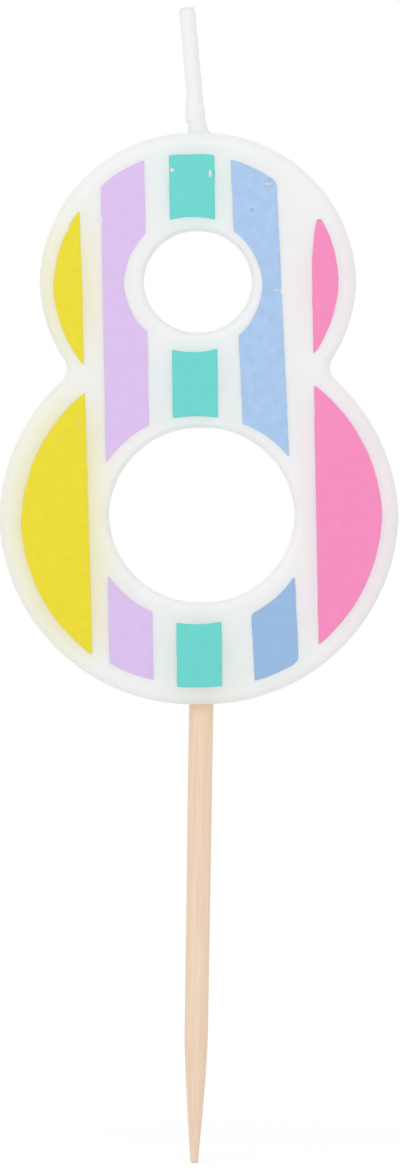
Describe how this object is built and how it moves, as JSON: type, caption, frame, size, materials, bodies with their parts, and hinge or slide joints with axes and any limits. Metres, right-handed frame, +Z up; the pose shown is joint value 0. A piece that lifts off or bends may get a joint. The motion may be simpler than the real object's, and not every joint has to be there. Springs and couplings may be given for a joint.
{
  "type": "number candle",
  "caption": "Cast wax birthday candle shaped as the numeral eight, with pastel stripe films on its front, a standing cotton wick and a pointed wooden pick that pushes into a cake.",
  "frame": {"origin": "on the pick's axis, at the top of its even shaft, just under the wax", "axes": "+Z up along the pick, +X to the right and -Y out of the striped front"},
  "size_m": [0.0489, 0.0081, 0.1418],
  "materials": {
    "wax": "satin, slightly translucent paraffin wax",
    "yellow_film": "satin print film",
    "lilac_film": "satin print film",
    "teal_film": "satin print film",
    "blue_film": "satin print film",
    "pink_film": "satin print film",
    "cotton": "braided cotton cord",
    "wick_wax": "thin wax skin",
    "wood": "bare birch"
  },
  "bodies": {
    "pick": {"wooden_pick": "wood"},
    "number": {"wax_number": "wax", "yellow_upper_film": "yellow_film", "yellow_lower_film": "yellow_film", "lilac_upper_film": "lilac_film", "lilac_lower_film": "lilac_film", "teal_top_film": "teal_film", "teal_middle_film": "teal_film", "teal_bottom_film": "teal_film", "blue_upper_film": "blue_film", "blue_lower_film": "blue_film", "pink_upper_film": "pink_film", "pink_lower_film": "pink_film", "wick_root": "cotton"},
    "wick": {"wick_cord": "cotton", "wick_coat": "wick_wax"}
  },
  "joints": [
    {"name": "number_lift", "type": "slide", "parent": "pick", "child": "number", "axis": [0, 0, 1], "range_m": [0, 0.012]},
    {"name": "wick_bend", "type": "hinge", "parent": "number", "child": "wick", "pos_m": [-0.00155, 0, 0.07053], "axis": [0, 1, 0], "range_deg": [-40, 50]}
  ]
}
